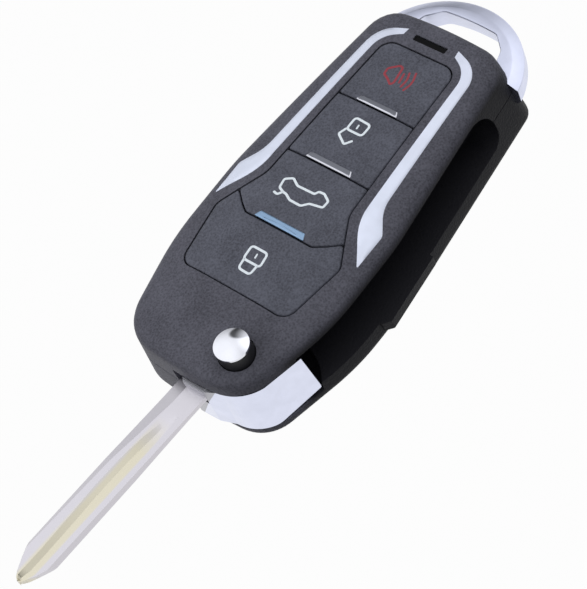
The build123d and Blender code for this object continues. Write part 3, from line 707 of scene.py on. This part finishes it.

# Bars in the lower edges of three caps: small plated plastic mouldings with rounded edges, pressed into the
# caps. The lowest is tinted blue, and the others have a brushed field inside a bright edge, coloured darker
# as a painted reflection.
bar_plating = plated("bar_plating", rgb(205, 206, 214), 0.2, brushed=(30, 1, 1))
blue_plating = plated("blue_plating", rgb(142, 170, 200), 0.4)
# Painted reflection: the field's metal is coloured darker than the bright edge, standing in for the dark
# surroundings its flat top mirrors; its brushed lines are its own.
field_plating_dark_reflection = plated("field_plating_dark_reflection", rgb(120, 122, 130), 0.35, brushed=(30, 1, 1), grain=0.3, depth=0.01)
bar_sink, bar_rise, bar_edge = 0.6, 0.12, 0.3
bar_slant = 0.65
seam_gap = 0.15
field_rise, field_edge = 0.15, 0.05
bar_rows = (("panic", 19.8, 4.7, 1.2), ("unlock", 5.8, 5.2, 1.3), ("trunk", -8.3, 5.7, 1.4))
for key, seam_y, half, depth in bar_rows:
    low_y = seam_y + seam_gap
    bar_line = arcs(mirrored([(half, low_y, 0.15), (half - bar_slant, low_y + depth, 0.4)]), 6)
    centre = np.array([0, low_y + depth / 2])
    bar = block(f"bar_{key}_bright", capped(bar_line, centre, crown(centre) - bar_sink, bar_rise, bar_edge))
    place(bar, blue_plating if key == "trunk" else bar_plating, f"key_{key}", "bar", f"bar_{key}")
    if key != "trunk":
        field_corners = [(half - 0.45, low_y + 0.3, 0.1), (half - 0.85, low_y + depth - 0.12, 0.3)]
        field_line = arcs(mirrored(field_corners), 6)
        field = block(f"bar_{key}_field", capped(field_line, centre, crown(centre), field_rise, field_edge))
        place(field, field_plating_dark_reflection, f"key_{key}", "bar")

# Indicator window: a smoked and polished plastic moulding, snapped into its slot from inside. It sits a
# little below the face and reaches down towards the lamp on the board.
smoked = Finish("smoked_window", Roughness=0.3, Specular_IOR_Level=0.1)
smoked.feed("Base Color", smoked.mix(smoked.noise(2), rgb(3, 3, 5), rgb(8, 8, 10)))
smoked.relief(smoked.noise(0.5), 0.002)
pane_line = arcs([(3.55, 35.3, 0.2), (3.55, 36.5, 0.2), (-3.55, 36.5, 0.2), (-3.55, 35.3, 0.2)], 4)
pane_foot = 12.3
pane = block("window_pane", capped(pane_line, np.array([0, 35.9]), pane_foot, rise=-0.2, radius=0.1))
place(pane, smoked, "case", "window", "indicator_window")

# Key ring loop: a zinc casting with bright plating. A flat bow, bevelled on its outer side above and below,
# runs round from one tang to the other, and its hole flares downwards. The shells clamp the tangs.
loop_plating = plated("loop_plating", rgb(222, 226, 246), 0.34)
loop_side, loop_depth, loop_centre = 16.6, 15.9, 34.6
tang_front, tang_end = 33.0, 38.0
tang_inner, tang_outer = 9.4, 13.0
loop_low, loop_top = 5.5, 11.0
start_turn = np.arcsin((tang_end - loop_centre) / loop_depth)
turn = np.linspace(start_turn, np.pi - start_turn, 80)
bow = np.column_stack([loop_side * np.cos(turn), loop_centre + loop_depth * np.sin(turn)])
hole_half = [(9.4, 41.0, 0.5), (8.7, 43.4, 1.5), (5.9, 46.0, 2.0), (0, 46.4, 60.0)]
hole_corners = [(9.4, tang_end, 0.05), *hole_half, *((-x, y, r) for x, y, r in hole_half[-2::-1])]
hole = stepped([open_arcs([*hole_corners, (-9.4, tang_end, 0.05)])], 80, closed=False)[0]
tangs = [np.array([(x, tang_front), (x, tang_end - 0.01)]) for x in (tang_outer, tang_inner)]
bow = np.concatenate([tangs[0], bow, tangs[0][::-1] * (-1, 1)])
hole = np.concatenate([tangs[1], hole, tangs[1][::-1] * (-1, 1)])
# Each section is the hole's line or the bow's, moved along the straight lines from one to the other, at its
# own level.
outwards = (bow - hole) / np.linalg.norm(bow - hole, axis=1, keepdims=True)
hole_flare = 1.5
under_bevel, under_height = 1.2, 1.5
upper_bevel, upper_height = 2.2, 1.2
upper_rail = bow - upper_bevel * outwards
sections = [
    (hole + hole_flare * outwards, loop_low),
    (bow - under_bevel * outwards, loop_low),
    (bow, loop_low + under_height),
    (bow, loop_top - upper_height),
    (bow - 0.12 * outwards, loop_top - 1.05),
    (upper_rail + 0.2 * outwards, loop_top - 0.08),
    (upper_rail - 0.15 * outwards, loop_top),
    (hole + 0.15 * outwards, loop_top),
    (hole, loop_top - 0.15),
]
loop_rings = list(np.stack([ring(line, level) for line, level in sections], axis=1))
loop = block("ring_loop", closed_form(loop_rings[::-1]))
place(loop, loop_plating, "case", "loop", "key_ring_loop", sharp=24)

# Hub and rim: a zinc casting with satin plating that turns in the case and grips the blade, and the bright
# plated cladding on its outer corner. Both follow the CAD's upright wall, and are fitted to the drafted one.
upright_corners = [
    (0, -39.0, 90),
    (14.4, -38.1, 7.5),
    (19.1, -17.5, 45),
    (19.2, 0, 45),
    (14.5, 40.0, 6.5),
    (0, 41.2, 90),
]
upright_line = arcs(mirrored(upright_corners))
fixed_reach = 5.0
first_angle, last_angle = -1.9, 0.75


def reach(line, angles):
    """Distance from the pivot to a line at each angle."""
    spokes = stepped([line], 2000)[0] - (pivot_x, pivot_y)
    order = np.argsort(np.arctan2(spokes[:, 1], spokes[:, 0]))
    spokes = spokes[order]
    return np.interp(angles, np.arctan2(spokes[:, 1], spokes[:, 0]), np.linalg.norm(spokes, axis=1))


def fitted(name, node):
    """Copy of a CAD node's mesh, merged, whose outer side follows the drafted wall: past the fixed reach from
    the pivot, what is left of a distance is scaled by (new - fixed) / (upright - fixed), never enlarged."""
    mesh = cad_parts[node].data.copy()
    made = bpy.data.objects.new(name, mesh)
    bpy.context.scene.collection.objects.link(made)
    merge = made.modifiers.new("merge", "WELD")
    merge.merge_threshold = 1e-6
    applied(made)
    mesh = made.data
    points = np.empty(len(mesh.vertices) * 3)
    mesh.vertices.foreach_get("co", points)
    points = points.reshape(-1, 3) / mm
    spokes = points[:, :2] - (pivot_x, pivot_y)
    angles = np.arctan2(spokes[:, 1], spokes[:, 0])
    distance = np.linalg.norm(spokes, axis=1)
    low, high, upright = (reach(line, angles) for line in (back_line, face_line, upright_line))
    new = low + (high - low) * points[:, 2] / case_height
    scale = np.minimum((new - fixed_reach) / (upright - fixed_reach), 1.0)
    outer_side = (angles < last_angle) & (angles > first_angle) & (distance > fixed_reach)
    fitted_distance = fixed_reach + (distance - fixed_reach) * scale
    share = np.where(outer_side, fitted_distance / np.maximum(distance, 1e-6), 1)
    points[:, :2] = (pivot_x, pivot_y) + spokes * share[:, None]
    mesh.vertices.foreach_set("co", points.ravel())
    return made


hub_casting = plated("hub_casting", rgb(176, 176, 182), 0.3, grain=0.08, depth=0.003)
place(fitted("hub_body", "flip_hub"), hub_casting, "flip_hub", "hub", "flip_hub", sharp=12)
rim_plating = plated("rim_plating", rgb(222, 226, 244), 0.12)
place(fitted("rim_cladding", "hub_rim"), rim_plating, "flip_hub", "rim", "hub_rim")

# Blade and its pin: milled from bar and nickel plated, with the cutter's lines along it, and held in the hub
# by a roll pin. The left edge has a bevel that narrows towards the tip, and each side has a wide groove with
# one slanted wall, whose floor is tinted yellowish as a painted reflection.
blade_low, blade_high = 8.5, 10.8
blade_middle = 5.8
blade_axis = np.array([-0.078459, -0.996917])
blade_side = np.array([-0.996917, 0.078459])
groove_depth = 0.5
groove_start, groove_run_in, groove_run_out = 12.5, 7, 1.2
least_land = 0.25
bevel_step, bevel_slope = 0.25, 0.35
reach_along = np.concatenate([np.linspace(4.3, 45.5, 90), np.linspace(46, 51.5, 34)])


def rail(*stations):
    """Distance from the pivot's line, along the blade, through (reach, distance) stations."""
    return np.interp(reach_along, *zip(*stations))


left_edge = rail((10, 9.7), (25, 9.5), (45.5, 9.2), (47.8, 8.2), (50.2, 7.0), (51.1, 6.3), (51.5, 5.6))
right_edge = rail((47.0, 2.45), (49.0, 3.3), (50.4, 4.2), (51.1, 4.6), (51.5, 5.1))
bevel_line = np.minimum(rail((12, 6.7), (16.4, 7.1), (20, 7.4), (26, 8.05), (45, 8.55)), left_edge - 0.3)
groove_left = np.minimum(
    rail((12.5, 4.1), (13.5, 4.6), (16.2, 5.66), (19.7, 6.3), (25, 6.8), (31.5, 6.85), (37, 6.5), (45, 6.15)),
    bevel_line - least_land,
)
groove_right = np.maximum(rail((12.5, 3.9), (19, 3.5)), right_edge + least_land)
groove_left = np.maximum(groove_left, groove_right + 0.1)
sunk = np.clip((reach_along - groove_start) / groove_run_in, 0, 1)
sunk = sunk * np.clip((groove_left - groove_right) / groove_run_out, 0, 1)
sunk = groove_depth * sunk**2 * (3 - 2 * sunk)
wall_foot = groove_right + 0.6 * (groove_left - groove_right)
half_profile = [
    (left_edge, blade_high - bevel_step - bevel_slope * (left_edge - bevel_line)),
    (bevel_line, blade_high),
    (groove_left, blade_high),
    (wall_foot, blade_high - sunk),
    (groove_right + 0.06, blade_high - sunk),
    (groove_right, blade_high),
    (right_edge, blade_high),
]
# Each rail is pivot + reach * axis + distance * side, at its own level, and the underside is the upper side
# turned about the blade's middle line.
turned_over = [(2 * blade_middle - across, blade_low + blade_high - level) for across, level in half_profile]
rails = []
for across, level in half_profile + turned_over:
    across = np.clip(across, right_edge, left_edge)
    spot = (pivot_x, pivot_y) + np.outer(reach_along, blade_axis) + across[:, None] * blade_side
    rails.append(ring(spot, level))
blade_bar = block("blade_bar", closed_form(list(np.stack(rails, axis=1))))
nickel_colour = rgb(208, 205, 211)
blade_nickel = plated("blade_nickel", nickel_colour, 0.34, brushed=(1, 40, 1), depth=0.0015)


def distance_in(direction):
    """Distance of the surface from the pivot's line in a level direction: (x - px) dx + (y - py) dy."""
    in_x = (blade_nickel.axis("x") - pivot_x * mm) * float(direction[0])
    return in_x + (blade_nickel.axis("y") - pivot_y * mm) * float(direction[1])


across = distance_in(blade_side)
# Painted reflection: the floor of each groove is tinted yellowish, standing in for what it mirrors.
painted_groove_reflection = blade_nickel.clamp(across, 3.5 * mm, 4.2 * mm) * (1 - blade_nickel.clamp(across, 6.2 * mm, 6.9 * mm))
painted_groove_reflection = painted_groove_reflection * blade_nickel.clamp(distance_in(blade_axis), 15 * mm, 22 * mm)
blade_nickel.feed("Base Color", blade_nickel.mix(painted_groove_reflection, nickel_colour, rgb(214, 208, 188)))
place(blade_bar, blade_nickel, "flip_hub", "blade", "blade", sharp=20)
dress(blade_nickel, "blade_pin")

# Release button: a black plastic plunger that slides in the hub and turns with it, under a domed cap of sheet
# metal, polished and brightly plated, that is pressed onto it.
plunger_plastic = moulded("plunger_plastic", rgb(22, 22, 25), rgb(30, 30, 34), 0.006, 0.4, gloss=0.3)
dress(plunger_plastic, "release_button")
dome_plating = plated("dome_plating", rgb(232, 233, 240), 0.08)
dress(dome_plating, "release_cap")

# Spring: drawn steel wire in four turns, between the pivot boss and the plunger. Squeezed, it lifts the
# button, and twisted, it swings the blade out. Here it keeps its length at every pose.
spring_wire = plated("spring_wire", rgb(150, 150, 154), 0.3)
dress(spring_wire, "flip_spring")

# Rubber sheet under the caps: grey silicone, moulded in one piece with a dome for each cap. It lies on the
# board, keeps water out and springs the caps back.
silicone = moulded("silicone", rgb(60, 60, 64), rgb(70, 70, 74), 0.004, 0.6, gloss=0.3)
dress(silicone, "key_membrane")

# Board and what it carries: glass laminate under green solder resist, with black chip packages, stamped metal
# cans, switches and contacts, the coin cell between them, a wound copper coil and a small clear lamp.
board_resist = Finish("board_resist", Roughness=0.35)
weave = board_resist.noise(0.6, detail=1)
board_resist.feed("Base Color", board_resist.mix(weave, rgb(22, 84, 50), rgb(34, 108, 66)))
board_resist.relief(weave, 0.01)
dress(board_resist, "circuit_board")
package = moulded("chip_package", rgb(22, 22, 22), rgb(30, 30, 30), 0.006, 0.55)
dress(package, "controller_chip", "radio_chip", "transponder")
stamped = plated("stamped_sheet", rgb(186, 186, 188), 0.28, brushed=(12, 1, 1))
dress(stamped, "crystal_can", "coin_cell", "battery_contact_negative", "battery_contact_positive")
dress(stamped, *(f"tact_switch_{key}" for key in ("panic", "unlock", "trunk", "lock")))
copper = plated("copper_winding", rgb(184, 110, 66), 0.35, brushed=(1, 12, 12), grain=0.2)
dress(copper, "antenna_coil")
lamp = Finish("lamp_package", Roughness=0.2)
lamp.feed("Base Color", lamp.mix(lamp.noise(0.4), rgb(222, 214, 180), rgb(238, 234, 214)))
dress(lamp, "indicator_led")

# Screws: steel, zinc plated, three of a kind. They are sunk in wells in the back and hold the two halves of
# the case together.
screw_zinc = plated("screw_zinc", rgb(168, 168, 170), 0.26)
dress(screw_zinc, "case_screws")

# Floor: a wide matt sheet that takes the key's shadow. To the camera, and mirrored in metal and glass, it is
# nearly white. To all other light it is dark, as nothing lights the key from below in the photo.
floor_reach = 3.0
floor_corners = [(-floor_reach, -floor_reach, 0), (floor_reach, -floor_reach, 0)]
floor_corners += [(floor_reach, floor_reach, 0), (-floor_reach, floor_reach, 0)]
floor_mesh = bpy.data.meshes.new("floor")
floor_mesh.from_pydata(floor_corners, [], [(0, 1, 2, 3)])
floor = bpy.data.objects.new("floor", floor_mesh)
bpy.context.scene.collection.objects.link(floor)
floor_finish = Finish("floor_sheet", Roughness=0.9, Base_Color=rgb(36, 36, 38))
seen = floor_finish.node("ShaderNodeLightPath", {"output": "Is Camera Ray"})
for kind in ("Is Glossy Ray", "Is Transmission Ray"):
    seen = seen + floor_finish.node("ShaderNodeLightPath", {"output": kind})
glow = floor_finish.node("ShaderNodeEmission", {}, Color=(1, 1, 1, 1), Strength=1.0)
whiteness = 0.98
mixed = floor_finish.node("ShaderNodeMixShader", {}, whiteness * floor_finish.clamp(seen, 0, 1))
links = floor_finish.tree.links
links.new(floor_finish.shader.outputs[0], mixed.socket.node.inputs[1])
links.new(glow.socket, mixed.socket.node.inputs[2])
links.new(mixed.socket, floor_finish.tree.nodes["Material Output"].inputs[0])
floor_mesh.materials.append(floor_finish.material)

# Studio light: a bright tent over the key's front left that falls off to the right, with a gap in it that
# shows in the dome, and a smaller one behind the loop. To the camera all of it is white.
world = bpy.data.worlds.new("studio")
bpy.context.scene.world = world
world.use_nodes = True
nodes = world.node_tree.nodes
join = world.node_tree.links.new
tent = nodes["Background"]
direction = nodes.new("ShaderNodeTexCoord")


def lobe(toward, low, high, dim, bright):
    """Strength of light, smoothly from dim to bright as the cosine to a direction goes from low to high."""
    near = nodes.new("ShaderNodeVectorMath")
    near.operation = "DOT_PRODUCT"
    near.inputs[1].default_value = toward
    join(direction.outputs["Generated"], near.inputs[0])
    rise = nodes.new("ShaderNodeMapRange")
    rise.interpolation_type = "SMOOTHSTEP"
    for socket, value in (("From Min", low), ("From Max", high), ("To Min", dim), ("To Max", bright)):
        rise.inputs[socket].default_value = value
    join(near.outputs["Value"], rise.inputs["Value"])
    return rise.outputs[0]


def joined(operation, first, second):
    """Sum or product of two strengths."""
    step = nodes.new("ShaderNodeMath")
    step.operation = operation
    join(first, step.inputs[0])
    join(second, step.inputs[1])
    return step.outputs[0]


main_tent = lobe((-0.52, -0.46, 0.72), low=-0.2, high=0.92, dim=0.01, bright=1.24)
tent_gap = lobe((-0.53, 0.69, 0.5), low=0.93, high=0.97, dim=1.0, bright=0.12)
far_tent = lobe((0.23, 0.88, 0.42), low=0.55, high=0.95, dim=0.0, bright=1.0)
strength = joined("ADD", joined("MULTIPLY", main_tent, tent_gap), far_tent)
join(strength, tent.inputs["Strength"])
tent.inputs["Color"].default_value = (0.97, 0.98, 1.0, 1)
white = nodes.new("ShaderNodeBackground")
white.inputs["Strength"].default_value = 1.0
white.inputs["Color"].default_value = (1, 1, 1, 1)
choose = nodes.new("ShaderNodeMixShader")
ray = nodes.new("ShaderNodeLightPath")
join(ray.outputs["Is Camera Ray"], choose.inputs[0])
join(tent.outputs[0], choose.inputs[1])
join(white.outputs[0], choose.inputs[2])
join(choose.outputs[0], nodes["World Output"].inputs[0])

# Camera: looks down on the key from its right front, turned as in the photo. Its place and its three axes
# were fitted to points of the key in the photo, and its lens to the size of the frame.
camera_place = np.array([202.02, -114.79, 317.54]) * mm
camera_right = np.array([0.74732, 0.60244, -0.28033])
camera_down = np.array([0.416, -0.75316, -0.50961])
camera_ahead = np.array([-0.51814, 0.26422, -0.81346])
focal_pixels = 2203.8
image_height = 589
lens_data = bpy.data.cameras.new("camera")
lens_data.sensor_width = 36.0
lens_data.lens = focal_pixels * lens_data.sensor_width / image_height
camera = bpy.data.objects.new("camera", lens_data)
turned = np.eye(4)
turned[:3, 0] = camera_right
turned[:3, 1] = -camera_down
turned[:3, 2] = -camera_ahead
turned[:3, 3] = camera_place
camera.matrix_world = turned.T
bpy.context.scene.collection.objects.link(camera)
bpy.context.scene.camera = camera
bpy.context.scene.view_settings.view_transform = "Standard"
